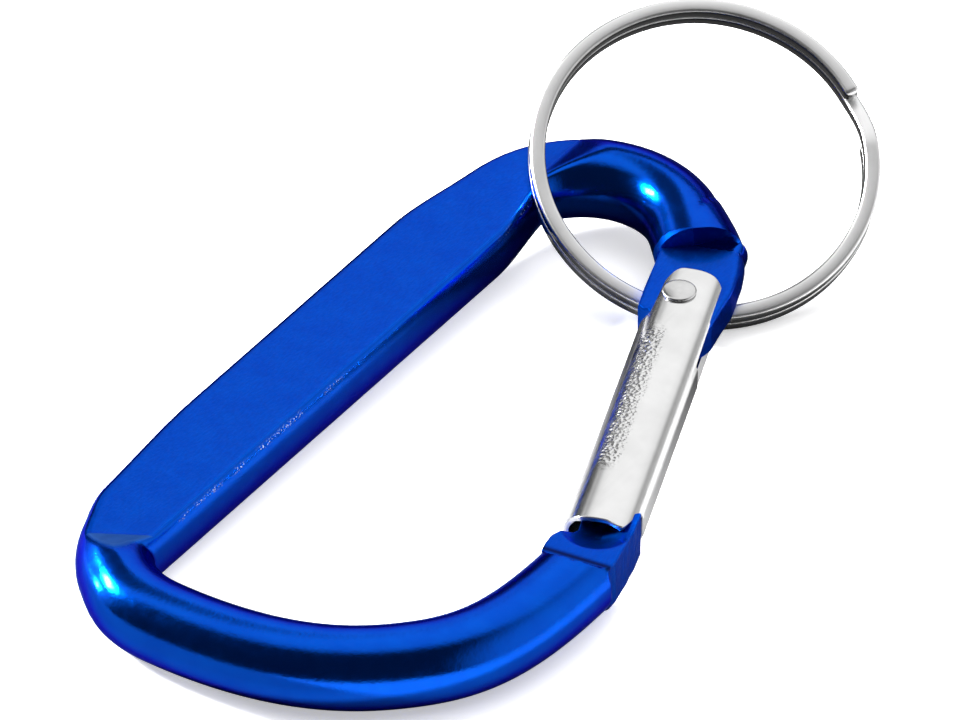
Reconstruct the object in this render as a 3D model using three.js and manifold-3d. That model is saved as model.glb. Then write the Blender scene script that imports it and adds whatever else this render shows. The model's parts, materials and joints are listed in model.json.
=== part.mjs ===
// A carabiner keyring: a bent and pressed aluminium body, a sprung sheet-steel
// gate on a rivet, and a split ring threaded round the hinge end of the body.
//
// Millimetres. The body lies flat: +Z is up, its long pressed side (the spine)
// runs along Y, and the gate side faces +X. The origin is the middle of the
// underside of the whole object's bounding box.

import * as THREE from 'three';
import { mergeVertices } from 'three/addons/utils/BufferGeometryUtils.js';
import Module from 'manifold-3d';

const wasm = await Module();
wasm.setup();

// ---------------------------------------------------------------- dimensions

// body rod
const ROD_R = 3.4;
const MID = ROD_R;                       // height of the rod's axis over the body's underside
const ROD_SIDES = 24;
const ROD_STEPS = 96;
const SPINE_X = -13.6;                   // the spine's axis
const TOP_ARC = { x: -4.7, y: 26.4, r: 8.9 };
const HEEL_ARC = { x: -4.5, y: -24.95, r: 9.1 };
const TOP_ARC_END = Math.PI / 4;         // where the top arc gives way to the hinge tang's run-in
const HIP = new THREE.Vector2(13.8, -28.3);   // the fullest point of the lower bow
const HIP_ANGLE = 0.74;                  // direction of the rod there
const NOSE_END = new THREE.Vector2(19.86, -11.0);
const BOW_PULL = { heel: 8, hipIn: 5.9, hipOut: 5.8, nose: 10.2 };   // fullness of the bow's curves
const RUN_IN = { x: 0.35, y: 5, pull: 3.6 };  // where the rod dies into the hinge tang, gate frame

// pressed spine
const PRESS_HALF = 2.3;                  // half thickness between the pressed flats
const PRESS_EDGE_X = -9.85;              // inner edge of the press tool
const PRESS_RAMP = { rise: 1.2, run: 3.1 };
const PRESS_END = { inner: -28.15, outer: -39.5 };   // the tool's lower edge, a radius of the heel
const PRESS_TOOL_DEEP = 2;
const PRESS_CLEAR = { x: -30, y: 45 };   // well outside the body
const SPINE_Y = [-29, 27];
const SPINE_END = { inner: -11.4, outer: -15.8, run: 9 };   // where the widened sides die into the rod
const SPINE_SIDE = { out: 0.9, up: 1.6 };     // rounding of the bulged spine sides
const SPINE_OUT_X = -17.6;               // outer edge of the flat at its widest
const SPINE_BOW = 0.8;                   // how far that edge bows over its length

// gate frame: origin on the rivet axis, +Y along the gate towards the hinge end
const RIVET = new THREE.Vector2(7.54, 22.48);
const GATE_LEAN = THREE.MathUtils.degToRad(20.7);

// hinge tang and nose tongue
const TONGUE_HALF = 1.55;
const TANG_STEP_Y = 7.4;
const TANG_END_Y = -6.2;
const TANG_CUT = { x: [-7, 7], y: -12 };      // reach of the cuts that leave the tang
const NOSE_FLAT_HALF = 2.2;
const NOSE_STEP_Y = -37.6;
const NOSE_CUT = { x: [-9, 7], y: -20 };      // reach of the cuts that leave the nose
const NOSE_HORN = { x: 3.55, y: -36.5 };      // outer face of the nose's horn and where it begins
const NOSE_RECESS = { x: 0.4, y: -31.1, r: 3.15, reach: 6 };
const CUT_HIGH = 6;                      // clears the rod from its axis

// gate
const SHEET = 0.55;
const GATE_X = [-2.75, 3.45];            // inner and outer faces
const GATE_HALF = 2.4;                   // half height outside
const GATE_Y = [-31, 3.4];
const WEB_BEND_R = 1.7;
const WALL_BEND_R = 1.0;
const WEB_START_Y = -4.2;
const WALL_Y = [-27.6, -8];
const CHEEK_INNER_X = -1.6;
const CHEEK_DROP = 2.4;                  // how far down the outer side the cheek's rounding runs
const GATE_NOSE = { x: 1.2, up: 3 };     // the rounded outer corner at the nose end

// rivet
const RIVET_R = 1.1;
const RIVET_CLEARANCE = 0.08;
const RIVET_HEAD_R = 1.45;
const RIVET_HEAD_H = 0.4;
const RIVET_EDGE = { in: 0.25, up: 0.18 };
const RIVET_DOME = 0.06;
const HEAD_GAP = 0.03;
const ROUND_SIDES = 24;
const FINEST_EDGE = 0.01;

// gate spring
const SPRING_R = 0.35;
const SPRING_X = 0.9;                    // the pocket's place across the tang
const SPRING_POCKET_R = 0.55;
const SPRING_POCKET_Y = -3.2;
const SPRING_POCKET_DEEP = 8;
const SPRING_CLEAR = 0.1;                // gap to the gate's wall

// split ring
const RING_R = 15;                       // outside radius
const WIRE_RADIAL = 1.35;
const WIRE_AXIAL = 1.25;
const COIL_GAP = 0.06;
const WIRE_CORNER = 0.3;
const RING_TOP_CENTRE = new THREE.Vector3(0.5, 37.15, 7.8);
const RING_NORMAL = new THREE.Vector3(0.345, -0.347, 0.872).normalize();
const RING_SPLIT = THREE.MathUtils.degToRad(63);   // where the upper coil ends, round the ring
const RING_JOGGLE = THREE.MathUtils.degToRad(12);  // arc over which the wire changes level
const RING_END_GAP = THREE.MathUtils.degToRad(2.5);
const RING_STEPS = 150;

// ----------------------------------------------------------------- materials

const blueAnodised = new THREE.MeshStandardMaterial({ color: 0x0038c8, roughness: 0.28, metalness: 1 });
const gateNickel = new THREE.MeshStandardMaterial({ color: 0xd8d6d2, roughness: 0.22, metalness: 1 });
const rivetSteel = new THREE.MeshStandardMaterial({ color: 0xcfccc6, roughness: 0.3, metalness: 1 });
const springSteel = new THREE.MeshStandardMaterial({ color: 0x8e8b86, roughness: 0.35, metalness: 1 });
const ringNickel = new THREE.MeshStandardMaterial({ color: 0xc9c6c1, roughness: 0.18, metalness: 1 });

// ------------------------------------------------------------------- helpers

// A closed three.js geometry as a manifold solid.
function solid(geometry) {
  const bare = geometry.clone();
  bare.deleteAttribute('normal');
  bare.deleteAttribute('uv');
  const merged = mergeVertices(bare, 1e-4);
  return new wasm.Manifold(new wasm.Mesh({
    numProp: 3,
    vertProperties: new Float32Array(merged.attributes.position.array),
    triVerts: new Uint32Array(merged.index.array),
  }));
}

function join(first, ...others) {
  return others.reduce((whole, piece) => whole.add(piece), first);
}

function cut(first, ...others) {
  return others.reduce((whole, piece) => whole.subtract(piece), first);
}

// A manifold solid as a named mesh, with edges shorter than the given tolerance gathered up.
function part(shape, name, material) {
  const made = shape.simplify(FINEST_EDGE).getMesh();
  const geometry = new THREE.BufferGeometry();
  geometry.setAttribute('position', new THREE.BufferAttribute(made.vertProperties, 3));
  geometry.setIndex(new THREE.BufferAttribute(made.triVerts, 1));
  geometry.computeVertexNormals();
  const mesh = new THREE.Mesh(geometry, material);
  mesh.name = name;
  return mesh;
}

// A flat plate of the given plan outline between two heights.
function plate(outline, low, high) {
  const geometry = new THREE.ExtrudeGeometry(outline, {
    depth: high - low, bevelEnabled: false, curveSegments: 12,
  });
  return geometry.translate(0, 0, low);
}

function polygon(points) {
  return new THREE.Shape(points.map(([x, y]) => new THREE.Vector2(x, y)));
}

function block(x, y, z) {
  const geometry = new THREE.BoxGeometry(x[1] - x[0], y[1] - y[0], z[1] - z[0]);
  return geometry.translate((x[0] + x[1]) / 2, (y[0] + y[1]) / 2, (z[0] + z[1]) / 2);
}

// A vertical cylinder whose flats, not its corners, lie at the given radius.
function hole(radius, low, high) {
  const corner = radius / Math.cos(Math.PI / ROUND_SIDES);
  const geometry = new THREE.CylinderGeometry(corner, corner, high - low, ROUND_SIDES);
  return geometry.rotateX(Math.PI / 2).translate(0, 0, (low + high) / 2);
}

// Turns and moves gate-frame geometry into the body's frame.
const gateToBody = new THREE.Matrix4()
  .makeTranslation(RIVET.x, RIVET.y, MID)
  .multiply(new THREE.Matrix4().makeRotationZ(GATE_LEAN));

function inGateFrame(geometry) {
  return geometry.applyMatrix4(gateToBody);
}

// A plan path lifted to a constant height.
class FlatCurve extends THREE.Curve {
  constructor(path, height) {
    super();
    this.path = path;
    this.height = height;
  }

  getPoint(t, target = new THREE.Vector3()) {
    const p = this.path.getPoint(t);
    return target.set(p.x, p.y, this.height);
  }
}

// ---------------------------------------------------------------------- body

// The rod's axis, from the hinge tang over the top, down the spine and round to the nose.
function rodAxis() {
  const start = new THREE.Vector3(RUN_IN.x, RUN_IN.y, 0).applyMatrix4(gateToBody);
  const crown = new THREE.Vector2(
    TOP_ARC.x + TOP_ARC.r * Math.cos(TOP_ARC_END),
    TOP_ARC.y + TOP_ARC.r * Math.sin(TOP_ARC_END),
  );
  const path = new THREE.Path();
  path.moveTo(start.x, start.y);
  path.quadraticCurveTo(crown.x + RUN_IN.pull, crown.y - RUN_IN.pull, crown.x, crown.y);
  path.absarc(TOP_ARC.x, TOP_ARC.y, TOP_ARC.r, TOP_ARC_END, Math.PI, false);
  path.lineTo(SPINE_X, HEEL_ARC.y);
  path.absarc(HEEL_ARC.x, HEEL_ARC.y, HEEL_ARC.r, Math.PI, 1.5 * Math.PI, false);
  const along = new THREE.Vector2(Math.cos(HIP_ANGLE), Math.sin(HIP_ANGLE));
  path.bezierCurveTo(
    HEEL_ARC.x + BOW_PULL.heel, HEEL_ARC.y - HEEL_ARC.r,
    HIP.x - BOW_PULL.hipIn * along.x, HIP.y - BOW_PULL.hipIn * along.y,
    HIP.x, HIP.y,
  );
  path.bezierCurveTo(
    HIP.x + BOW_PULL.hipOut * along.x, HIP.y + BOW_PULL.hipOut * along.y,
    NOSE_END.x, NOSE_END.y - BOW_PULL.nose,
    NOSE_END.x, NOSE_END.y,
  );
  return new FlatCurve(path, MID);
}

function rod() {
  const section = new THREE.Shape();
  section.absarc(0, 0, ROD_R, 0, 2 * Math.PI, false);
  return new THREE.ExtrudeGeometry(section, {
    steps: ROD_STEPS, curveSegments: ROD_SIDES / 2, extrudePath: rodAxis(),
  });
}

// The spine's pressed-out width: a slab with rounded sides and a bowed outer edge.
function spineSlab() {
  const outline = new THREE.Shape();
  const [low, high] = SPINE_Y;
  const outerEnd = SPINE_OUT_X + SPINE_BOW;
  outline.moveTo(SPINE_END.inner, low);
  outline.quadraticCurveTo(PRESS_EDGE_X, low + 1, PRESS_EDGE_X, low + SPINE_END.run);
  outline.lineTo(PRESS_EDGE_X, high - SPINE_END.run);
  outline.quadraticCurveTo(PRESS_EDGE_X, high - 1, SPINE_END.inner, high);
  outline.lineTo(SPINE_END.outer, high);
  outline.quadraticCurveTo(outerEnd, high - 1, outerEnd, high - SPINE_END.run);
  outline.quadraticCurveTo(SPINE_OUT_X - SPINE_BOW, (low + high) / 2, outerEnd, low + SPINE_END.run);
  outline.quadraticCurveTo(outerEnd, low + 1, SPINE_END.outer, low);
  const geometry = new THREE.ExtrudeGeometry(outline, {
    depth: 2 * (PRESS_HALF - SPINE_SIDE.up),
    bevelEnabled: true,
    bevelThickness: SPINE_SIDE.up,
    bevelSize: SPINE_SIDE.out,
    bevelSegments: 4,
    curveSegments: 16,
  });
  return geometry.translate(0, 0, MID - PRESS_HALF + SPINE_SIDE.up);
}

// The press tool: its flat face, and a sloping land round it where the metal runs out.
function pressTool(side) {
  const outline = polygon([
    [PRESS_EDGE_X, PRESS_END.inner], [PRESS_EDGE_X, PRESS_CLEAR.y],
    [PRESS_CLEAR.x, PRESS_CLEAR.y], [PRESS_CLEAR.x, PRESS_END.outer],
  ]);
  const geometry = new THREE.ExtrudeGeometry(outline, {
    depth: PRESS_TOOL_DEEP,
    bevelEnabled: true,
    bevelThickness: PRESS_RAMP.rise,
    bevelSize: PRESS_RAMP.run,
    bevelSegments: 1,
  });
  const above = MID + PRESS_HALF + PRESS_RAMP.rise;
  const below = MID - PRESS_HALF - PRESS_RAMP.rise - PRESS_TOOL_DEEP;
  return geometry.translate(0, 0, side > 0 ? above : below);
}

// The flat tang that the gate is riveted to, in the gate's frame.
function hingeTang() {
  const outline = new THREE.Shape();
  outline.moveTo(-2.9, 8);
  outline.lineTo(-3.05, 1);
  outline.lineTo(-3, -2.6);
  outline.quadraticCurveTo(-2.9, -3.3, -1.5, -3.6);
  outline.lineTo(-1.4, TANG_END_Y + 1.2);
  outline.quadraticCurveTo(-1.3, TANG_END_Y, -0.2, TANG_END_Y);
  outline.lineTo(2, TANG_END_Y);
  outline.quadraticCurveTo(3.1, TANG_END_Y, 3.2, TANG_END_Y + 1.2);
  outline.lineTo(3.35, -2.4);
  outline.lineTo(3.6, 2.6);
  outline.quadraticCurveTo(3.9, 4.5, 3.85, 7);
  outline.lineTo(3.3, 9.5);
  return inGateFrame(plate(outline, -TONGUE_HALF, TONGUE_HALF));
}

// The nose: a pressed flat whose outer horn runs up beside the gate's end.
function noseOutline(left) {
  const outline = new THREE.Shape();
  outline.moveTo(-3.15, -38.5);
  outline.lineTo(-3.1, -35);
  outline.quadraticCurveTo(-3, -33.4, -2.3, -32.5);
  outline.lineTo(left, -31.9);
  outline.lineTo(left, -29.6);
  outline.quadraticCurveTo(left, -28.9, left + 0.7, -28.8);
  outline.lineTo(3, -28.4);
  outline.lineTo(3.5, -28.6);
  outline.lineTo(3.45, -33.5);
  outline.lineTo(2.7, -38.5);
  return outline;
}

function nose() {
  const flat = solid(inGateFrame(plate(noseOutline(-1.5), -NOSE_FLAT_HALF, NOSE_FLAT_HALF)));
  return cut(flat, recess(1), recess(-1));
}

// Clears the nose above and below its tongue, so the gate's cheeks close over it.
function recess(side) {
  const outline = new THREE.Shape();
  const { x, y, r, reach } = NOSE_RECESS;
  outline.absarc(x, y, r, Math.PI, 2 * Math.PI, false);
  outline.lineTo(x + r, y + reach);
  outline.lineTo(x - r - 1, y + reach);
  outline.lineTo(x - r - 1, y);
  const z = side > 0 ? [TONGUE_HALF, 4] : [-4, -TONGUE_HALF];
  return solid(inGateFrame(plate(outline, z[0], z[1])));
}

function body() {
  const trim = (x, y, low, high) => solid(inGateFrame(block(x, y, [low, high])));
  const tangCut = (low, high) => trim(TANG_CUT.x, [TANG_CUT.y, TANG_STEP_Y], low, high);
  const noseCut = (low, high) => trim(NOSE_CUT.x, [NOSE_STEP_Y, NOSE_CUT.y], low, high);
  const beside = trim([NOSE_HORN.x, 9], [NOSE_HORN.y, NOSE_CUT.y], -5, 5);
  const bar = cut(
    join(solid(rod()), solid(spineSlab())),
    solid(pressTool(1)), solid(pressTool(-1)),
    tangCut(TONGUE_HALF, CUT_HIGH), tangCut(-CUT_HIGH, -TONGUE_HALF),
    noseCut(NOSE_FLAT_HALF, CUT_HIGH), noseCut(-CUT_HIGH, -NOSE_FLAT_HALF),
    beside, recess(1), recess(-1),
  );
  const pocket = new THREE.CylinderGeometry(SPRING_POCKET_R, SPRING_POCKET_R, SPRING_POCKET_DEEP, 12)
    .translate(SPRING_X, SPRING_POCKET_Y - SPRING_POCKET_DEEP / 2, 0);
  return cut(
    join(bar, solid(hingeTang()), nose()),
    solid(inGateFrame(hole(RIVET_R + RIVET_CLEARANCE, -6, 6))),
    solid(inGateFrame(pocket)),
  );
}

// ---------------------------------------------------------------------- gate

// The gate's section: a flattened tube with a wide bend on the web side.
function tubeSection(inset) {
  const [x0, x1] = [GATE_X[0] + inset, GATE_X[1] - inset];
  const h = GATE_HALF - inset;
  const web = WEB_BEND_R - inset;
  const wall = WALL_BEND_R - inset;
  const section = new THREE.Shape();
  section.absarc(x0 + web, -h + web, web, Math.PI, 1.5 * Math.PI, false);
  section.absarc(x1 - wall, -h + wall, wall, 1.5 * Math.PI, 2 * Math.PI, false);
  section.absarc(x1 - wall, h - wall, wall, 0, 0.5 * Math.PI, false);
  section.absarc(x0 + web, h - web, web, 0.5 * Math.PI, Math.PI, false);
  return section;
}

function tube(inset, reach) {
  const length = GATE_Y[1] - GATE_Y[0] + 2 * reach;
  const geometry = new THREE.ExtrudeGeometry(tubeSection(inset), {
    depth: length, bevelEnabled: false, curveSegments: 6,
  });
  return geometry.rotateX(Math.PI / 2).translate(0, GATE_Y[1] + reach, 0);
}

// The gate seen from above: rounded cheeks at the hinge end and a rounded outer nose corner.
function gatePlan() {
  const [low, high] = GATE_Y;
  const outline = new THREE.Shape();
  outline.moveTo(-4, low);
  outline.lineTo(GATE_NOSE.x, low);
  outline.quadraticCurveTo(GATE_X[1] - 0.35, low, GATE_X[1], low + GATE_NOSE.up);
  outline.lineTo(4, low + GATE_NOSE.up + 0.2);
  outline.lineTo(4, high - CHEEK_DROP);
  outline.lineTo(GATE_X[1] - 0.2, high - CHEEK_DROP);
  outline.quadraticCurveTo(GATE_X[1] - 0.4, high, 0.6, high);
  outline.quadraticCurveTo(CHEEK_INNER_X, high, CHEEK_INNER_X, high - 1.8);
  outline.lineTo(CHEEK_INNER_X, WEB_START_Y + 1);
  outline.quadraticCurveTo(CHEEK_INNER_X, WEB_START_Y, CHEEK_INNER_X - 0.9, WEB_START_Y);
  outline.lineTo(-4, WEB_START_Y);
  return outline;
}

function gate() {
  const shell = cut(solid(tube(0, 0)), solid(tube(SHEET, 1)));
  const inside = GATE_HALF - SHEET;
  const wallCut = (y) => solid(block([GATE_X[1] - WALL_BEND_R, 5], y, [-inside, inside]));
  return cut(
    shell.intersect(solid(plate(gatePlan(), -5, 5))),
    wallCut([WALL_Y[1], 6]), wallCut([-34, WALL_Y[0]]),
    solid(hole(RIVET_R + HEAD_GAP, -6, 6)),
  );
}

// A rivet turned from one profile: shank and two slightly domed heads.
function rivet() {
  const under = GATE_HALF + HEAD_GAP;
  const top = under + RIVET_HEAD_H;
  const half = [
    [RIVET_R, under], [RIVET_HEAD_R, under],
    [RIVET_HEAD_R, top - RIVET_EDGE.up], [RIVET_HEAD_R - RIVET_EDGE.in, top],
  ];
  const profile = [
    [0, -top - RIVET_DOME],
    ...half.map(([x, y]) => [x, -y]).reverse(),
    ...half,
    [0, top + RIVET_DOME],
  ];
  const geometry = new THREE.LatheGeometry(profile.map(([x, y]) => new THREE.Vector2(x, y)), ROUND_SIDES);
  return solid(geometry.rotateX(Math.PI / 2));
}

// A bent wire from its pocket in the tang to the inside of the gate's closed wall.
function gateSpring() {
  const wall = GATE_X[1] - SHEET - SPRING_R - SPRING_CLEAR;
  const route = new THREE.CatmullRomCurve3([
    new THREE.Vector3(SPRING_X, SPRING_POCKET_Y - 0.4, 0),
    new THREE.Vector3(SPRING_X, TANG_END_Y, 0),
    new THREE.Vector3(SPRING_X - 0.5, TANG_END_Y - 2.4, 0),
    new THREE.Vector3(SPRING_X + 0.4, TANG_END_Y - 5, 0),
    new THREE.Vector3(wall, TANG_END_Y - 8, 0),
    new THREE.Vector3(wall - 0.5, TANG_END_Y - 10.2, 0),
  ]);
  const section = new THREE.Shape();
  section.absarc(0, 0, SPRING_R, 0, 2 * Math.PI, false);
  return solid(new THREE.ExtrudeGeometry(section, { steps: 30, curveSegments: 5, extrudePath: route }));
}

// ---------------------------------------------------------------- split ring

// Two coils of one wire: the upper coil steps down beside its own end and goes round again.
class SplitCoil extends THREE.Curve {
  getPoint(t, target = new THREE.Vector3()) {
    const sweep = 4 * Math.PI - RING_JOGGLE - RING_END_GAP;
    const angle = sweep * t;
    const level = (WIRE_AXIAL + COIL_GAP) / 2;
    const drop = THREE.MathUtils.smoothstep(angle, 2 * Math.PI - RING_JOGGLE, 2 * Math.PI);
    const r = RING_R - WIRE_RADIAL / 2;
    const turn = RING_SPLIT + angle;
    return target.set(r * Math.cos(turn), r * Math.sin(turn), level * (1 - 2 * drop));
  }
}

function splitRing() {
  const [a, b, c] = [WIRE_AXIAL / 2, WIRE_RADIAL / 2, WIRE_CORNER];
  const section = polygon([
    [-a + c, -b], [a - c, -b], [a, -b + c], [a, b - c],
    [a - c, b], [-a + c, b], [-a, b - c], [-a, -b + c],
  ]);
  return solid(new THREE.ExtrudeGeometry(section, { steps: RING_STEPS, extrudePath: new SplitCoil() }));
}

// ------------------------------------------------------------------ assembly

const keyring = new THREE.Group();

keyring.add(part(body(), 'body', blueAnodised));

const gateGroup = new THREE.Group();
gateGroup.position.set(RIVET.x, RIVET.y, MID);
gateGroup.rotation.z = GATE_LEAN;
gateGroup.add(part(gate(), 'gate', gateNickel));
gateGroup.add(part(rivet(), 'gate_rivet', rivetSteel));
gateGroup.add(part(gateSpring(), 'gate_spring', springSteel));
keyring.add(gateGroup);

const ring = part(splitRing(), 'split_ring', ringNickel);
const halfStack = WIRE_AXIAL + COIL_GAP / 2;
ring.position.copy(RING_TOP_CENTRE).addScaledVector(RING_NORMAL, -halfStack);
ring.quaternion.setFromUnitVectors(new THREE.Vector3(0, 0, 1), RING_NORMAL);
keyring.add(ring);

// Stand the origin in the middle of the underside of the bounding box.
const bounds = new THREE.Box3().setFromObject(keyring, true);
const middle = bounds.getCenter(new THREE.Vector3());
keyring.position.set(-middle.x, -middle.y, -bounds.min.z);

export default keyring;
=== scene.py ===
"""A carabiner keyring: its looks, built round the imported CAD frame.

Shapes are worked out in millimetres in the body's own frame (the rod's underside at z = 0, the
pressed side along +Y, the gate towards +X) and moved onto the CAD frame by the gate's hinge point.
"""

import json
import math

import bmesh
import bpy
import numpy as np
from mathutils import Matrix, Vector


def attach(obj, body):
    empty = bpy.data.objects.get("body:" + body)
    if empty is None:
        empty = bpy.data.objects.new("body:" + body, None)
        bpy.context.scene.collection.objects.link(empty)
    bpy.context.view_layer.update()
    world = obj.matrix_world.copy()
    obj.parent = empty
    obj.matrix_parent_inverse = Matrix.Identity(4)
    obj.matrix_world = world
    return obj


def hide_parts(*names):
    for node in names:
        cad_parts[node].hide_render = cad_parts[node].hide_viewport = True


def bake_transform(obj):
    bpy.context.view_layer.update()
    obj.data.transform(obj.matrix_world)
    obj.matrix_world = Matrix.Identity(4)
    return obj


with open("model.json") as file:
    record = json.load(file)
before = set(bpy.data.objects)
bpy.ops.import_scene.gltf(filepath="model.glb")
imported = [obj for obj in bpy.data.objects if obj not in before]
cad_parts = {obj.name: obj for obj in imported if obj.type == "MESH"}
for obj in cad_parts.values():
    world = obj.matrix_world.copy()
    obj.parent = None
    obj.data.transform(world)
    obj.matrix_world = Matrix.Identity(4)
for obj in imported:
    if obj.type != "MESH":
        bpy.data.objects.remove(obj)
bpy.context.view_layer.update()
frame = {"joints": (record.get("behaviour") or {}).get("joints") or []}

MM = 0.001
ROD_R = 3.4
MID = 3.4                                   # height of the rod's axis
SPINE_X = -13.6                             # the pressed side's axis
TOP_ARC = (-4.7, 26.4, 8.9)                 # an arc of the axis: its centre's x and y, and its radius
HEEL_ARC = (-4.5, -24.95, 9.1)
HIP = (13.8, -28.3, 0.74)                   # a point of the lower bow and the rod's direction there
HIP_PULL = (5.9, 5.8)                       # how long the bow keeps that direction, each way
HEEL_PULL = 8.0                             # how straight the bow leaves the heel
NOSE_END = (19.86, -11.0)
NOSE_PULL = 10.2
RIVET = (7.54, 22.48)                       # the gate frame's origin
LEAN = math.radians(20.7)                   # the closed gate's lean from the pressed side
AXIS_STEP = 0.05
AXIS_BLUR = 0.7                             # rounds off the joins between the axis's stretches
BLUR_STEPS = 40

PRESS_HALF = 2.3                            # half the height left under the press tool
PRESS_EDGE_X = -11.2                        # the tool's side edge at the top bend's crown
PRESS_EDGE_SHIFTS = ((29, 24.5, 2.0), (24.5, 17, 2.4))     # how far it moves out from one y to another
PRESS_SLOPE = 0.385                         # slope of the ramps beyond the tool's edges
PRESS_TURN = math.radians(211)              # the press tool's lower edge, a radius of the heel bend
WALL_X = -8.85                              # the pressed side's inner wall at its fullest
WALL_BULGE = 0.6                            # how much of the rod's roundness the wall keeps
WALL_DRAW_IN = 1.3                          # how far the wall draws in towards the top bend
WALL_DRAW_IN_Y = (20, 31)
FLAT_SPREAD = (1.2, 0.008)                  # how far the flat spreads outwards, and its growth along Y
FLAT_SPREAD_Y = (-29.5, -12, 17, 29)        # it comes in between the first two and goes by the others
HEEL_SQUEEZE = 0.4                          # how much narrower the flat is where it meets the heel
HEEL_SQUEEZE_Y = (-34.05, -32, -28, -25)
SHOULDER_SPREADS = ((17, 11, 0.3), (14, 8.5, 0.5))          # the rod's fullness towards the tang's step
SHOULDER_PULL = 4.5                         # how full the top bend runs out into the tang
RAMP_SOFT = {"heel": 0.16, "top": 0.35}     # rounding where the ramps leave the flat
RIM_SOFT = {"inner": 0.4, "outer": 0.34}    # rounding of the flat's rims
WALL_SOFT = 0.05

TANG_X = 0.35
TANG_TOP_Y = 5.0                            # where the tang's straight stretch ends
TANG_HALF = 1.55
TANG_STEP_Y = 7.6
TANG_END_Y = -6.15
TANG_BULGE = 1.4
TANG_BULGE_Y = (2, 7)
TANG_SOFT = {"inner": 0.14, "outer": 0.45}

NOSE_X = 1.0
NOSE_TONGUE_Y = -31.0
NOSE_TIP_Y = -28.72
NOSE_HALF = 2.2
RECESS = (0.4, -31.1, 3.15)                 # the scoop under the gate's end: its middle and its reach
SCOOP_SLOPE = 0.5
SCOOP_DEEP = 1.45
NOSE_SOFT = 0.16
STEP_Y = 37.08                              # the nose's step: its place along the rod's crest,
STEP_SKEW = 0.3                             # its turn across the rod
STEP_SLANT = 1.18                           # and how it leans back from the crest
STEP_DROP = 1.3
STEP_ROUGH = 0.1
STEP_SHADE_Y = 35.7                             # painted shade: the dark line in the corner of the step, painted in the colour, not cut
STEP_SHADE_SKEW = 0.2
STEP_SHADE_WIDTH = 0.3
RIDGES = 0.018                              # height of the sheared side's ridges
SHEAR_BITE = 0.02

TANG_HOLE_R = 1.2                           # the rivet's holes
GATE_HOLE_R = 1.13
THROUGH = 7                                 # the holes' cutter is this long
SECTION_POINTS = 208
SLAB = (3.6, 2.0)                           # a slab about the size of the body's sections
FINE, COARSE = 0.05, 0.42                   # the closest and the widest spacing of the sections
NOSE_SPACING = 0.13
TANG_SPACING = 0.2
HEEL_DISH = (-11.6, -29.3)                  # where the flat runs out into the heel bend
FAR = 9.0                                   # further than any of the body's surfaces
MAX_RADIUS = 7.0                            # no point of the body is further than this from its axis
HALVINGS = 22

hinge = next(j for j in frame["joints"] if j["name"] == "gate_hinge")
SHIFT = np.array(hinge["pos_m"]) / MM - np.array([*RIVET, MID])


# ------------------------------------------------------------------ geometry helpers

def smoothstep(low, high, x):
    t = np.clip((x - low) / (high - low), 0, 1)
    return t * t * (3 - 2 * t)


def bump_at(x, centre, width):
    """A smooth bump of height 1 round a centre."""
    return np.exp(-((x - centre) / width) ** 2)


def soft_max(a, b, width):
    """The larger of two distances, with their crease rounded over about width."""
    h = np.clip(0.5 + 0.5 * (a - b) / width, 0, 1)
    return a * h + b * (1 - h) + width * h * (1 - h)


def soft_ramp(x, width):
    """0 below 0 and x above it, with a rounded corner."""
    return 0.5 * (x + np.sqrt(x * x + width * width))


def to_body(points):
    """Gate-frame points, (x, y) or (x, y, z), in the body's frame."""
    points = np.asarray(points, float)
    c, s = math.cos(LEAN), math.sin(LEAN)
    out = points.copy()
    out[..., 0] = RIVET[0] + c * points[..., 0] - s * points[..., 1]
    out[..., 1] = RIVET[1] + s * points[..., 0] + c * points[..., 1]
    if points.shape[-1] == 3:
        out[..., 2] = points[..., 2] + MID
    return out


def to_gate(x, y):
    """A plan point of the body's frame, in the gate's."""
    c, s = math.cos(LEAN), math.sin(LEAN)
    dx, dy = x - RIVET[0], y - RIVET[1]
    return c * dx + s * dy, -s * dx + c * dy


def wave_noise(x, y, seed, scale, count=14):
    """Smooth noise, about -1 to 1, made of a few seeded waves."""
    r = np.random.default_rng(seed)
    total = np.zeros(np.broadcast(x, y).shape)
    for _ in range(count):
        angle, phase = r.uniform(0, 2 * np.pi, 2)
        wave = r.uniform(0.6, 1.8) / scale
        total = total + np.sin(wave * (x * math.cos(angle) + y * math.sin(angle)) + phase)
    return total / math.sqrt(count)


def polygon_distance(x, y, corners):
    """Signed distance to a closed polygon, negative inside."""
    best = np.full(x.shape, 1e9)
    inside = np.zeros(x.shape, bool)
    for (ax, ay), (bx, by) in zip(corners, np.roll(corners, -1, axis=0)):
        ex, ey = bx - ax, by - ay
        t = np.clip(((x - ax) * ex + (y - ay) * ey) / (ex * ex + ey * ey), 0, 1)
        best = np.minimum(best, (x - ax - t * ex) ** 2 + (y - ay - t * ey) ** 2)
        crosses = (ay > y) != (by > y)
        with np.errstate(divide="ignore", invalid="ignore"):
            inside ^= crosses & (x < (bx - ax) * (y - ay) / (by - ay) + ax)
    return np.where(inside, -1, 1) * np.sqrt(best)


def bezier(p0, p1, p2, p3, count):
    t = np.linspace(0, 1, count)[:, None]
    p0, p1, p2, p3 = (np.array(p, float) for p in (p0, p1, p2, p3))
    return (1 - t) ** 3 * p0 + 3 * t * (1 - t) ** 2 * p1 + 3 * t * t * (1 - t) * p2 + t ** 3 * p3


def arc(cx, cy, r, start, end, count):
    a = np.radians(np.linspace(start, end, count))
    return np.c_[cx + r * np.cos(a), cy + r * np.sin(a)]


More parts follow.
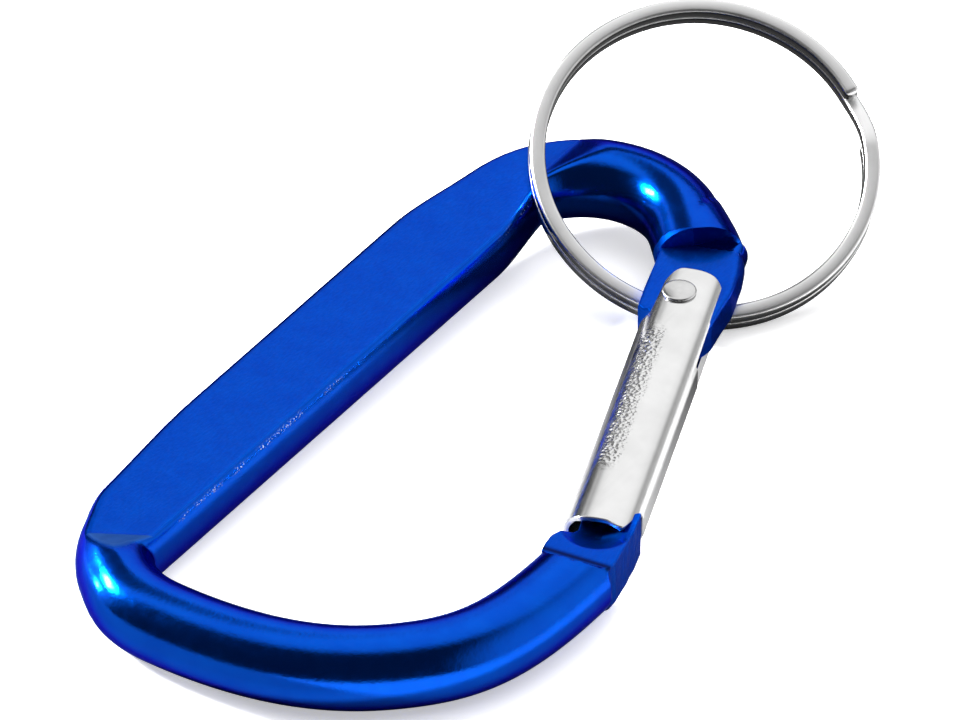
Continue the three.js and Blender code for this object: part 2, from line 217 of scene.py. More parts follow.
def make_piece(name, points, faces, body, nodes, material, masks=None, sharp=None):
    """A mesh from body-frame millimetres that rides on a CAD body and stands for its nodes."""
    mesh = bpy.data.meshes.new(name)
    mesh.from_pydata(((points + SHIFT) * MM).tolist(), [], faces)
    for key, values in (masks or {}).items():
        layer = mesh.attributes.new(key, "FLOAT", "POINT")
        layer.data.foreach_set("value", np.asarray(values, np.float32))
    mesh.polygons.foreach_set("use_smooth", [True] * len(mesh.polygons))
    mesh.update()
    piece = bpy.data.objects.new(name, mesh)
    bpy.context.scene.collection.objects.link(piece)
    mesh.materials.append(material)
    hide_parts(*nodes)
    if body:
        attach(piece, body)
    if sharp is not None:
        mesh.set_sharp_from_angle(angle=math.radians(sharp))
    return piece


def tube_faces(rows, columns):
    """The quads of a tube of closed rows, each with the same number of points."""
    faces = []
    for i in range(rows - 1):
        here, there = i * columns, (i + 1) * columns
        for j in range(columns):
            k = (j + 1) % columns
            faces.append((here + j, here + k, there + k, there + j))
    return faces


def end_faces(rows, columns):
    """The two faces that close a tube's ends."""
    return [tuple(range(columns - 1, -1, -1)), tuple(range((rows - 1) * columns, rows * columns))]


# ---------------------------------------------------------------------------- body

def body_axis():
    """The rod's axis as a dense polyline from the tang's end to the nose's tip."""
    crown = np.array([TOP_ARC[0] + TOP_ARC[2] * math.cos(math.pi / 4),
                      TOP_ARC[1] + TOP_ARC[2] * math.sin(math.pi / 4)])
    tang = to_body(np.c_[np.full(60, TANG_X), np.linspace(TANG_END_Y - 1, TANG_TOP_Y, 60)])
    start, pull = tang[-1], crown + [SHOULDER_PULL, -SHOULDER_PULL]
    t = np.linspace(0, 1, 80)[:, None]
    run_in = (1 - t) ** 2 * start + 2 * t * (1 - t) * pull + t * t * crown
    along = np.array([math.cos(HIP[2]), math.sin(HIP[2])])
    hip = np.array(HIP[:2])
    heel_end = np.array([HEEL_ARC[0], HEEL_ARC[1] - HEEL_ARC[2]])
    nose = np.array(NOSE_END)
    tongue = to_body(bezier((-0.31, -35.67), (0.35, -33.9), (0.9, -33.2), (NOSE_X, NOSE_TONGUE_Y), 40))
    tip = to_body(np.c_[np.full(30, NOSE_X), np.linspace(NOSE_TONGUE_Y, NOSE_TIP_Y + 0.92, 30)])
    path = np.vstack([
        tang, run_in,
        arc(*TOP_ARC, 45, 180, 200),
        np.c_[np.full(400, SPINE_X), np.linspace(TOP_ARC[1], HEEL_ARC[1], 400)],
        arc(*HEEL_ARC, 180, 270, 160),
        bezier(heel_end, heel_end + [HEEL_PULL, 0], hip - HIP_PULL[0] * along, hip, 200),
        bezier(hip, hip + HIP_PULL[1] * along, nose - [0, NOSE_PULL], nose, 200),
        tongue, tip,
    ])
    step = np.r_[1, np.hypot(*np.diff(path, axis=0).T)]
    path = path[step > 1e-6]
    length = np.r_[0, np.cumsum(np.hypot(*np.diff(path, axis=0).T))]
    even = np.arange(0, length[-1], AXIS_STEP)
    path = np.c_[np.interp(even, length, path[:, 0]), np.interp(even, length, path[:, 1])]
    kernel = np.exp(-0.5 * (np.arange(-BLUR_STEPS, BLUR_STEPS + 1) * AXIS_STEP / AXIS_BLUR) ** 2)
    kernel /= kernel.sum()
    before = path[:1] - (path[1] - path[0]) * np.arange(BLUR_STEPS, 0, -1)[:, None]
    after = path[-1:] + (path[-1] - path[-2]) * np.arange(1, BLUR_STEPS + 1)[:, None]
    padded = np.vstack([before, path, after])
    return np.c_[np.convolve(padded[:, 0], kernel, "valid"), np.convolve(padded[:, 1], kernel, "valid")]


def tool_distance(x, y):
    """How far a plan point lies beyond the press tool's edges, negative under the tool."""
    normal = (math.sin(PRESS_TURN), -math.cos(PRESS_TURN))
    lower = -((x - HEEL_ARC[0]) * normal[0] + (y - HEEL_ARC[1]) * normal[1])
    edge = PRESS_EDGE_X
    for from_y, to_y, shift in PRESS_EDGE_SHIFTS:
        edge = edge + shift * smoothstep(from_y, to_y, y)
    return np.maximum(x - edge, lower)


def rod_spread(x, y, y_axis):
    """How far the pressing has spread the rod's outer half: along the flat, and beside the tang."""
    spread, growth = FLAT_SPREAD
    low, full, still, gone = FLAT_SPREAD_Y
    flat = (spread + growth * y_axis) * smoothstep(low, full, y_axis) * smoothstep(gone, still, y_axis)
    low, full, still, gone = HEEL_SQUEEZE_Y
    flat = flat - HEEL_SQUEEZE * smoothstep(gone, still, y_axis) * smoothstep(low, full, y_axis)
    _, gy = to_gate(x, y)
    shoulder = sum(more * smoothstep(start, full, gy) for start, full, more in SHOULDER_SPREADS)
    return flat * (x < -4) + shoulder * (x > 3) * (y > 5)


def wall_x(y):
    """Where the pressed side's inner wall stands at a place along it."""
    return WALL_X - WALL_DRAW_IN * smoothstep(*WALL_DRAW_IN_Y, y)


def roundness(z):
    """How far the round rod's side has curved in at a height from its axis."""
    return ROD_R - np.sqrt(np.maximum(ROD_R ** 2 - z * z, 0))


def rod_shape(u, z, x, y, y_axis):
    """The round rod with its pressed side: negative inside."""
    spread = np.where(u > 0, rod_spread(x, y, y_axis), 0)
    round_part = np.hypot(np.maximum(np.abs(u) - spread, 0), z) - ROD_R
    wall = x - (wall_x(y) - WALL_BULGE * roundness(z))
    inner_side = np.where((u <= 0) & (x < -4) & (np.abs(z) < ROD_R), wall, FAR)
    round_part = -soft_max(-round_part, -inner_side, WALL_SOFT)
    soft = np.where(y > 10, RAMP_SOFT["top"], RAMP_SOFT["heel"])
    height = PRESS_HALF + PRESS_SLOPE * soft_ramp(tool_distance(x, y), soft)
    height = np.where(x > 0, FAR, height)
    soft = np.where(u > 0, RIM_SOFT["outer"], RIM_SOFT["inner"])
    return soft_max(round_part, np.abs(z) - height, soft)


# The tang's two sides in the gate frame: the places along it, and how far across each side lies.
TANG_OUTER = ([-8, -4.7, -2.4, -0.2, 2.1, 5.4, 7.0, 7.7],
              [1.2, 2.45, 3.35, 3.65, 4.05, 4.25, 4.1, 3.9])
TANG_INNER = ([-8, -2.2, -1.6, 1, 8], [-1.2, -1.25, -3.15, -3.2, -3.0])


def tang_shape(z, gx, gy):
    """The flat hinge tang, its outer side rounded towards the step: negative inside."""
    bulge = TANG_BULGE * smoothstep(*TANG_BULGE_Y, gy) * roundness(z)
    outer = gx - np.interp(gy, *TANG_OUTER) + bulge
    inner = np.interp(gy, *TANG_INNER) - gx
    return soft_max(soft_max(np.abs(z) - TANG_HALF, outer, TANG_SOFT["outer"]), inner, TANG_SOFT["inner"])


NOSE_OUTLINE = np.array([
    (-3.5, -40), (-3.3, -35.7), (-3.2, -34.4), (-2.97, -33.3), (-2.3, -32.4), (-1.5, -31.9),
    (-1.2, -31.2), (-1.2, -29.6), (-1.0, -29.0), (-0.6, -28.75), (2.6, -28.6), (3.2, -28.5),
    (3.45, -28.9), (3.4, -30.9), (3.15, -32.9), (2.85, -35.1), (2.33, -36.8), (1.7, -38.4), (1.2, -40),
])
SHEARED_SIDE = NOSE_OUTLINE[13:18]          # the outline's outer side, which the tool sheared


def nose_shape(z, gx, gy):
    """The pressed nose and its thinner tongue, scooped out under the gate's end."""
    reach = np.hypot(gx - RECESS[0], np.minimum(gy - RECESS[1], 0))
    height = NOSE_HALF - np.minimum(SCOOP_SLOPE * soft_ramp(RECESS[2] - reach, 0.1), SCOOP_DEEP)
    return soft_max(np.abs(z) - height, polygon_distance(gx, gy, NOSE_OUTLINE), NOSE_SOFT)


def solve_radius(shape, size):
    """Distance along each ray to where the shape's value turns positive."""
    low, high = np.zeros(size), np.full(size, MAX_RADIUS)
    for _ in range(HALVINGS):
        middle = (low + high) / 2
        outside = shape(middle) > 0
        high = np.where(outside, middle, high)
        low = np.where(outside, low, middle)
    return (low + high) / 2


def body_stations(path):
    """Axis points with their outward normals, closer together where the section changes."""
    length = np.r_[0, np.cumsum(np.hypot(*np.diff(path, axis=0).T))]
    _, gy = to_gate(path[:, 0], path[:, 1])
    near_tang = (path[:, 1] > 5) & (path[:, 0] > 3)
    to_step = np.where(near_tang, np.abs(gy - TANG_STEP_Y), 99.0)
    to_heel = np.hypot(path[:, 0] - HEEL_DISH[0], path[:, 1] - HEEL_DISH[1])
    spacing = np.clip(FINE + 0.2 * to_step, FINE, COARSE)
    spacing = np.minimum(spacing, np.clip(2 * FINE + 0.08 * to_heel, 2 * FINE, COARSE))
    spacing = np.where((path[:, 0] > 12) & (gy > -38.6), NOSE_SPACING, spacing)
    spacing = np.where(near_tang & (gy < TANG_STEP_Y - 0.3), TANG_SPACING, spacing)
    count = np.cumsum(np.r_[0, np.diff(length) / spacing[1:]])
    places = np.interp(np.arange(0, count[-1]), count, length)
    point = np.c_[np.interp(places, length, path[:, 0]), np.interp(places, length, path[:, 1])]
    slope = np.gradient(path, length, axis=0)
    tangent = np.c_[np.interp(places, length, slope[:, 0]), np.interp(places, length, slope[:, 1])]
    tangent /= np.hypot(*tangent.T)[:, None]
    return point, np.c_[tangent[:, 1], -tangent[:, 0]], places


def section_directions():
    """Ray directions that land evenly on a slab's outline."""
    corners = np.array([(1, 0), (1, 1), (-1, 1), (-1, -1), (1, -1), (1, 0)]) * np.array(SLAB)
    length = np.r_[0, np.cumsum(np.hypot(*np.diff(corners, axis=0).T))]
    at = np.linspace(0, length[-1], SECTION_POINTS, endpoint=False)
    u, z = np.interp(at, length, corners[:, 0]), np.interp(at, length, corners[:, 1])
    size = np.hypot(u, z)
    return u / size, z / size


def nose_step(x, y, z):
    """How far a rod point lies past the slanted step where the pressed nose begins."""
    sx, sy = to_gate(x, y)
    rough_edge = STEP_ROUGH * wave_noise(sx, sy * 0, 5, 0.35)
    slant = STEP_SLANT * np.minimum(ROD_R - np.abs(z), STEP_DROP)
    turn = STEP_SKEW * np.maximum(sx, -1.2)
    return sy + STEP_Y + turn - slant + 0.35 * smoothstep(2.4, 3.3, sx) + rough_edge


def edge_wear(x, y, z, px):
    """Where the pressed side's inner rim is worn bright."""
    rim = wall_x(y) - 0.25
    lower = smoothstep(-27, -24, y) * smoothstep(2, -6, y)
    upper = smoothstep(20, 22, y) * smoothstep(29, 26, y)
    return bump_at(x, rim, 0.13) * smoothstep(1.6, 2.0, z) * (px < -8) * (lower + upper)


def build_body(material):
    """Sections along the axis, each found by rays to the rod's, the tang's or the nose's surface."""
    point, normal, places = body_stations(body_axis())
    _, gy = to_gate(point[:, 0], point[:, 1])
    keep = ~((gy > -12) & (gy < TANG_END_Y) & (point[:, 0] < 14) & (places < 3))
    keep &= ~((places > places[-1] - 4) & (gy > NOSE_TIP_Y))
    point, normal, places = point[keep], normal[keep], places[keep]
    du, dz = section_directions()
    shape = (len(point), SECTION_POINTS)
    px, py = point[:, :1], point[:, 1:]

    def spot(radius):
        u, z = radius * du, radius * dz
        x, y = px + u * normal[:, :1], py + u * normal[:, 1:]
        return u, z, x, y

    def rod(radius):
        u, z, x, y = spot(radius)
        return rod_shape(u, z, x, y, np.broadcast_to(py, shape))

    def tang(radius):
        _, z, x, y = spot(radius)
        return tang_shape(z, *to_gate(x, y))

    def nose(radius):
        _, z, x, y = spot(radius)
        return nose_shape(z, *to_gate(x, y))

    rod_radius = solve_radius(rod, shape)
    _, ay = to_gate(px, py)
    on_tang = (py > 5) & (px > 2.5)
    radius = rod_radius + (on_tang & (ay < TANG_STEP_Y)) * (solve_radius(tang, shape) - rod_radius)
    near_nose = (px > 11) & (py < 0)
    _, z, x, y = spot(rod_radius)
    at_nose = near_nose * smoothstep(-0.3, 0.1, nose_step(x, y, z))
    radius = radius + at_nose * (solve_radius(nose, shape) - radius)

    _, z, x, y = spot(radius)
    fx, fy = to_gate(x, y)
    # painted shade: a dark band in the corner of the nose's step, used only for the colour
    from_step_shade = fy + STEP_SHADE_Y + STEP_SHADE_SKEW * fx
    step_shade = near_nose * bump_at(from_step_shade, 0, STEP_SHADE_WIDTH) * smoothstep(1.7, 2.0, np.abs(z))
    cut_x = np.interp(fy, SHEARED_SIDE[::-1, 1], SHEARED_SIDE[::-1, 0])
    sheared = at_nose * smoothstep(-0.3, -0.12, fx - cut_x) * smoothstep(2.2, 1.9, np.abs(z))
    ridges = wave_noise(places[:, None] + 0.15 * z, z * 0.4, 3, 0.22, 30)
    radius = radius + sheared * (RIDGES * ridges - SHEAR_BITE)

    _, z, x, y = spot(radius)
    beyond = tool_distance(x, y)
    height = np.abs(z) - PRESS_HALF
    pressed = smoothstep(0.25, -0.1, beyond) * smoothstep(-0.1, -0.02, height)
    tang_flat = on_tang * smoothstep(TANG_STEP_Y, TANG_STEP_Y - 0.1, fy)
    pressed = np.maximum(pressed, np.maximum(tang_flat, at_nose))
    crescent = smoothstep(0, 0.2, beyond) * bump_at(height, PRESS_SLOPE * beyond, 0.1)
    crescent = crescent * (py < -26) * (x < -5)
    masks = {"sheared": sheared, "pressed": pressed, "edge": edge_wear(x, y, z, px),
             "crescent": crescent, "step_shade": step_shade}
    masks = {name: np.broadcast_to(value, shape).reshape(-1) for name, value in masks.items()}
    points = np.stack([x, y, z + MID], -1).reshape(-1, 3)
    faces = tube_faces(*shape) + end_faces(*shape)
    body = make_piece("body_anodised", points, faces, "frame", ["body"], material,
                      masks)
    bore(body, TANG_HOLE_R)
    body.data.set_sharp_from_angle(angle=math.radians(46))
    return body


def bore(piece, radius):
    """Cuts the rivet's hole through a piece."""
    bm = bmesh.new()
    bmesh.ops.create_cone(bm, cap_ends=True, segments=48, radius1=radius * MM, radius2=radius * MM,
                          depth=THROUGH * MM)
    place = to_body(np.zeros(3)) + SHIFT
    bmesh.ops.translate(bm, verts=bm.verts, vec=Vector(place * MM))
    mesh = bpy.data.meshes.new("cutter")
    bm.to_mesh(mesh)
    bm.free()
    cutter = bpy.data.objects.new("cutter", mesh)
    bpy.context.scene.collection.objects.link(cutter)
    modifier = piece.modifiers.new("hole", "BOOLEAN")
    modifier.operation = "DIFFERENCE"
    modifier.object = cutter
    modifier.solver = "EXACT"
    apply_modifiers(piece)
    bpy.data.objects.remove(cutter)


def apply_modifiers(piece):
    bpy.context.view_layer.update()
    evaluated = piece.evaluated_get(bpy.context.evaluated_depsgraph_get())
    done = bpy.data.meshes.new_from_object(evaluated)
    piece.modifiers.clear()
    piece.data = done


# ---------------------------------------------------------------------------- gate

SHEET = 0.5                                 # the sheet's thickness
GATE_X = (-2.75, 3.45)                      # the folded side and the outer side
GATE_HALF = 2.4
GATE_Y = (-31.0, 3.4)
WEB_START_Y = -2.6                          # the folded side is cut back from the hinge to here
WALL_Y = (-27.9, -8.0)                      # the outer side's wall runs between these
WEB_BEND = 2.1
WALL_BEND = 1.35
CROWN = 0.045                               # fall of the sheet away from its crown line
CROWN_X = 0.2
CROWN_FULL_Z = 1.6
CHEEK_OUTER = (0.9, 2.35, 1.5)              # a corner of the cheek's rounded end: where it starts
CHEEK_INNER = (-0.2, 1.85, 5.3)             # across the gate, how wide it is and how far it falls
LIP = 0.13                                  # how far the sheet's rounded edge reaches in
LIP_CORNER = 0.035
GATE_ROWS = 90
GATE_COLUMNS = 300
DENTS_Y = (-24.5, -21.5, -7, -4)            # the dented band fades in and out between these
DENTS_X = (-1.8, -1.2, -0.2, 0.9)


def gate_outline():
    """The gate's section as a closed run of (x, z) points with outward normals and lengths."""
    runs = []
    for cx, cz, r, start, end in (
        (GATE_X[1] - WALL_BEND, GATE_HALF - WALL_BEND, WALL_BEND, 0, 90),
        (GATE_X[0] + WEB_BEND, GATE_HALF - WEB_BEND, WEB_BEND, 90, 180),
        (GATE_X[0] + WEB_BEND, -GATE_HALF + WEB_BEND, WEB_BEND, 180, 270),
        (GATE_X[1] - WALL_BEND, -GATE_HALF + WALL_BEND, WALL_BEND, 270, 360),
    ):
        a = np.radians(np.linspace(start, end, 15))
        runs.append(np.c_[cx + r * np.cos(a), cz + r * np.sin(a), np.cos(a), np.sin(a)])
    ring = np.vstack(runs)
    ring = np.vstack([ring, ring[:1]])
    length = np.r_[0, np.cumsum(np.hypot(*np.diff(ring[:, :2], axis=0).T))]
    return ring, length


def corner_fall(x, corner):
    """How far an elliptic corner has fallen back at a place across the gate."""
    start, width, fall = corner
    return fall * (1 - np.sqrt(np.clip(1 - ((x - start) / width) ** 2, 0, 1)))


def gate_limits(x):
    """How far the sheet runs along the gate at each place across it: (low, high)."""
    web = smoothstep(-1.5, -1.95, x)
    wall = smoothstep(3.1, 3.3, x)
    low, high = GATE_Y
    outer, inner = corner_fall(x, CHEEK_OUTER), corner_fall(x, CHEEK_INNER)
    cheek = high - np.where(x > CHEEK_OUTER[0], outer, np.where(x < CHEEK_INNER[0], inner, 0))
    top = cheek + web * (WEB_START_Y - cheek)
    top = top + wall * (WALL_Y[1] - top)
    notch = 2.9 * smoothstep(2.2, 3.35, x) ** 1.5
    nose = low + notch + 0.4 * smoothstep(2.2, 0.8, x) + 0.5 * smoothstep(-1.2, -2.4, x)
    return nose + wall * (WALL_Y[0] - nose), top


def gate_section():
    """The section's points and normals, closer together where the sheet's ends turn sharply."""
    ring, length = gate_outline()
    base = np.linspace(0, length[-1], 260, endpoint=False)
    x_base = np.interp(base, length, ring[:, 0])
    tight = (np.abs(x_base + 1.76) < 0.35) | (np.abs(x_base - 3.2) < 0.3)
    weight = np.cumsum(np.where(tight, 4.0, 1.0))
    even = np.linspace(weight[0], weight[-1], GATE_COLUMNS, endpoint=False)
    places = np.interp(even, weight, base)
    section = np.stack([np.interp(places, length, ring[:, k]) for k in range(4)], 1)
    section[:, 2:] /= np.hypot(section[:, 2], section[:, 3])[:, None]
    return section


def gate_rows(low, high):
    """Each row of the sheet's skin: where it lies along the gate, and how deep in the sheet."""
    t = np.linspace(0, 1, GATE_ROWS)
    t = 0.5 - 0.5 * np.cos(np.pi * t) * (0.35 + 0.65 * np.abs(np.cos(np.pi * t)))
    t[0], t[-1] = 0, 1
    skin = low + LIP + (high - low - 2 * LIP) * t[:, None]
    lip = [(LIP_CORNER, LIP_CORNER), (0.0, LIP), (0.0, SHEET - LIP), (LIP_CORNER, SHEET - LIP_CORNER)]
    rows = [(y, 0.0) for y in skin]
    rows += [(high - inset, depth) for inset, depth in lip]
    rows += [(y, SHEET) for y in skin[::-1]]
    rows += [(low + inset, depth) for inset, depth in lip[::-1]]
    return rows


def build_gate(material):
    section = gate_section()
    fall = CROWN * (section[:, 0] - CROWN_X) ** 2 * np.clip(section[:, 1] / CROWN_FULL_Z, -1, 1)
    rows = gate_rows(*gate_limits(section[:, 0]))
    points, cut, dented = [], [], []
    for y, depth in rows:
        gx = section[:, 0] - section[:, 2] * depth
        gz = section[:, 1] - section[:, 3] * depth - fall
        points.append(to_body(np.stack([gx, y + 0 * gx, gz], -1)))
        cut.append(np.full(GATE_COLUMNS, 1.0 if 0 < depth < SHEET else 0.0))
        along = smoothstep(DENTS_Y[0], DENTS_Y[1], y) * smoothstep(DENTS_Y[3], DENTS_Y[2], y)
        across = smoothstep(DENTS_X[0], DENTS_X[1], gx) * smoothstep(DENTS_X[3], DENTS_X[2], gx)
        dented.append(along * across * (gz > 1))
    faces = tube_faces(len(rows), GATE_COLUMNS)
    last = (len(rows) - 1) * GATE_COLUMNS
    for j in range(GATE_COLUMNS):
        k = (j + 1) % GATE_COLUMNS
        faces.append((last + j, last + k, k, j))
    gate = make_piece("gate_sheet", np.vstack(points), faces, "gate", ["gate"],
                      material, {"cut": np.hstack(cut), "dented": np.hstack(dented)})
    fix_normals(gate)
    bore(gate, GATE_HOLE_R)
    return gate


def fix_normals(piece):
    bm = bmesh.new()
    bm.from_mesh(piece.data)
    bmesh.ops.recalc_face_normals(bm, faces=bm.faces)
    bm.to_mesh(piece.data)
    bm.free()


SHANK_R = 1.1
HEAD_R = 1.45
HEAD_HIGH = 0.27
WIRE_R = 0.33
SPRING_BENDS = (-6.2, -14.2)                # the wire bends between these places along the gate


def build_rivet(material):
    """A shank with a low domed head at each end."""
    under, top = GATE_HALF - 0.02, GATE_HALF + HEAD_HIGH
    half = [(SHANK_R, 0.0), (SHANK_R, under), (HEAD_R - 0.06, under), (HEAD_R, under + 0.06),
            (HEAD_R, top - 0.14), (HEAD_R - 0.05, top - 0.07), (HEAD_R - 0.16, top - 0.02),
            (HEAD_R - 0.34, top), (HEAD_R - 0.7, top + 0.04), (0.35, top + 0.055), (0.02, top + 0.06)]
    profile = [(r, -z) for r, z in half[:0:-1]] + half
    turns = 72
    a = np.linspace(0, 2 * np.pi, turns, endpoint=False)
    points = np.vstack([np.c_[r * np.cos(a), r * np.sin(a), np.full(turns, z)] for r, z in profile])
    faces = tube_faces(len(profile), turns) + end_faces(len(profile), turns)
    rivet = make_piece("gate_rivet_domed", to_body(points), faces, "gate",
                       ["gate_rivet"], material, sharp=50)
    fix_normals(rivet)
    return rivet


def build_spring(material):
    """The bent wire inside the gate, from the tang's end to the gate's closed wall."""
    x, wall = 0.9, GATE_X[1] - SHEET - 0.35 - 0.1
    bend_y, reach_y = SPRING_BENDS
    stops = np.array([(x, -3.6), (x, bend_y), (x - 0.5, -8.6), (x + 0.4, -11.2), (wall, reach_y),
                      (wall - 0.5, -16.4)])
    t = np.linspace(0, len(stops) - 1, 90)
    route = np.stack([np.interp(t, range(len(stops)), stops[:, k]) for k in range(2)], 1)
    kernel = np.hanning(19)[1:-1]
    kernel /= kernel.sum()
    inner = np.c_[np.convolve(route[:, 0], kernel, "same"), np.convolve(route[:, 1], kernel, "same")]
    route[9:-9] = inner[9:-9]
    tangent = np.gradient(route, axis=0)
    tangent /= np.hypot(*tangent.T)[:, None]
    sides = 16
    a = np.linspace(0, 2 * np.pi, sides, endpoint=False)
    points = []
    for (px, py), (tx, ty) in zip(route, tangent):
        across = WIRE_R * np.cos(a)
        points.append(np.c_[px + across * ty, py - across * tx, WIRE_R * np.sin(a)])
    faces = tube_faces(len(route), sides) + end_faces(len(route), sides)
    spring = make_piece("gate_spring_wire", to_body(np.vstack(points)), faces, None,
                        ["gate_spring"], material)
    fix_normals(spring)
    start, end = (to_body(np.array([x, y, 0.0])) + SHIFT for y in SPRING_BENDS)
    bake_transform(spring)
    return spring


# ---------------------------------------------------------------------- split ring

RING_R = 15.0
RING_INSET = 0.07                           # keeps the wire inside the plain CAD ring
WIRE_RADIAL = 1.35
WIRE_AXIAL = 1.25
WIRE_CORNER = 0.32
COIL_GAP = 0.06
RING_CENTRE = np.array([0.5, 37.15, 7.8])
RING_NORMAL = np.array([0.345, -0.347, 0.872])
RING_SPLIT = math.radians(63)
RING_JOGGLE = math.radians(16)              # the wire steps down a coil over this turn
RING_END_GAP = math.radians(1.2)
RING_STEPS = 760
PINCH = 0.3                                 # how much thinner the wire's ends are
PINCH_LONG = 0.35


def wire_section():
    """The flattened wire's section, a rectangle with round corners."""
    arcs = []
    for cx, cz, start in ((1, 1, 0), (-1, 1, 90), (-1, -1, 180), (1, -1, 270)):
        a = np.radians(np.linspace(start, start + 90, 6))
        arcs.append(np.c_[cx * (WIRE_RADIAL / 2 - WIRE_CORNER) + WIRE_CORNER * np.cos(a),
                          cz * (WIRE_AXIAL / 2 - WIRE_CORNER) + WIRE_CORNER * np.sin(a)])
    return np.vstack(arcs)


def build_ring(material):
    """Two turns of one wire, which steps down a coil just before its upper end."""
    normal = RING_NORMAL / np.linalg.norm(RING_NORMAL)
    turn = np.array(Vector((0, 0, 1)).rotation_difference(Vector(normal)).to_matrix())
    sweep = 4 * math.pi - RING_JOGGLE - RING_END_GAP
    angle = np.linspace(0, sweep, RING_STEPS)
    drop = np.clip((angle - 2 * math.pi + RING_JOGGLE) / RING_JOGGLE, 0, 1)
    drop = np.convolve(np.pad(drop, 4, "edge"), np.full(9, 1 / 9), "valid")
    height = (WIRE_AXIAL + COIL_GAP) / 2 * (1 - 2 * drop)
    section = wire_section()
    from_end = np.minimum(angle, sweep - angle) * RING_R
    pinch = 1 - PINCH * np.clip(1 - from_end / PINCH_LONG, 0, 1) ** 2
    wobble = 0.012 * np.sin(3 * angle + 1) + 0.008 * np.sin(7 * angle)
    centre = RING_R - WIRE_RADIAL / 2 - RING_INSET
    points = []
    for a, h, p, w in zip(angle + RING_SPLIT, height, pinch, wobble):
        r = centre + w + section[:, 0] * p
        points.append(np.c_[r * math.cos(a), r * math.sin(a), h + section[:, 1] * p])
    points = np.vstack(points) @ turn.T
    points += RING_CENTRE - normal * (WIRE_AXIAL + COIL_GAP / 2)
    faces = tube_faces(len(angle), len(section)) + end_faces(len(angle), len(section))
    upper_face = np.tile(smoothstep(0.35, 0.6, section[:, 1]), len(angle))
    # painted shade: the "dull" mask marks the wire's bore side, which the ring material paints near-black
    bore_side = np.tile(smoothstep(-0.5, -0.64, section[:, 0]), len(angle))
    ring = make_piece("split_ring_wire", points, faces, "ring", ["split_ring"],
                      material, {"face": upper_face, "dull": bore_side}, sharp=60)
    fix_normals(ring)
    return ring


# ------------------------------------------------------------------------ materials

class Look:
    """A node material with short helpers."""

    def __init__(self, name, colour, metallic, roughness):
        self.material = bpy.data.materials.new(name)
        self.material.use_nodes = True
        self.tree = self.material.node_tree
        self.shader = self.tree.nodes["Principled BSDF"]
        self.set("Base Color", (*colour, 1))
        self.set("Metallic", metallic)
        self.set("Roughness", roughness)
        self.coordinates = self.add("ShaderNodeTexCoord").outputs["Object"]

    def add(self, kind, **inputs):
        node = self.tree.nodes.new(kind)
        for key, value in inputs.items():
            self.join(node, key.replace("_", " "), value)
        return node

    def join(self, node, key, value):
        """Links a socket to a node's input, or sets the input to a plain value."""
        if isinstance(value, bpy.types.NodeSocket):
            self.tree.links.new(value, node.inputs[key])
        else:
            node.inputs[key].default_value = value

    def set(self, key, value):
        self.join(self.shader, key, value)

    def mask(self, name):
        node = self.add("ShaderNodeAttribute")
        node.attribute_name = name
        return node.outputs["Fac"]

    def noise(self, scale, detail=3, stretch=None, rough=0.55):
        where = self.coordinates
        if stretch:
            mapping = self.add("ShaderNodeMapping", Vector=where)
            mapping.inputs["Scale"].default_value = stretch
            mapping.inputs["Rotation"].default_value = (0, 0, -LEAN)
            where = mapping.outputs["Vector"]
        node = self.add("ShaderNodeTexNoise", Vector=where, Scale=scale, Detail=detail, Roughness=rough)
        return node.outputs["Fac"]

    def cells(self, scale):
        """Distance from the middle of the nearest of many small cells."""
        node = self.add("ShaderNodeTexVoronoi", Vector=self.coordinates, Scale=scale)
        return node.outputs["Distance"]

    def span(self, value, low, high, to_low, to_high):
        """The value, with low to high spread over to_low to to_high."""
        node = self.add("ShaderNodeMapRange", Value=value)
        ends = {"From Min": low, "From Max": high, "To Min": to_low, "To Max": to_high}
        for key, number in ends.items():
            node.inputs[key].default_value = number
        return node.outputs["Result"]

    def math(self, operation, a, b):
        node = self.add("ShaderNodeMath")
        node.operation = operation
        self.join(node, 0, a)
        self.join(node, 1, b)
        return node.outputs["Value"]

    def mix(self, factor, first, second):
        node = self.add("ShaderNodeMix")
        node.data_type = "RGBA"
        for key, value in ((0, factor), (6, first), (7, second)):
            self.join(node, key, value)
        return node.outputs[2]

    def bump(self, layers):
        """Bump layers, each with its height, its strength and its depth in millimetres."""
        normal = None
        for height, strength, distance in layers:
            node = self.add("ShaderNodeBump", Height=height)
            node.inputs["Strength"].default_value = strength
            node.inputs["Distance"].default_value = distance * MM
            if normal is not None:
                self.tree.links.new(normal, node.inputs["Normal"])
            normal = node.outputs["Normal"]
        self.set("Normal", normal)


BLUE = (0.0, 0.070, 0.55, 1)
BLUE_LIGHT = (0.0, 0.082, 0.59, 1)
BLUE_MOTTLE = (0.0, 0.045, 0.36, 1)
BLUE_SHEARED = (0.0, 0.06, 0.28, 1)
BLUE_DULL = (0.05, 0.13, 0.32, 1)
# painted shade for the corner of the nose's step
BLUE_STEP_SHADE = (0.0, 0.006, 0.05, 1)
BARE_METAL = (0.95, 0.97, 1.0, 1)
BLUE_EDGE_TINT = (0.0, 0.16, 0.42, 1)


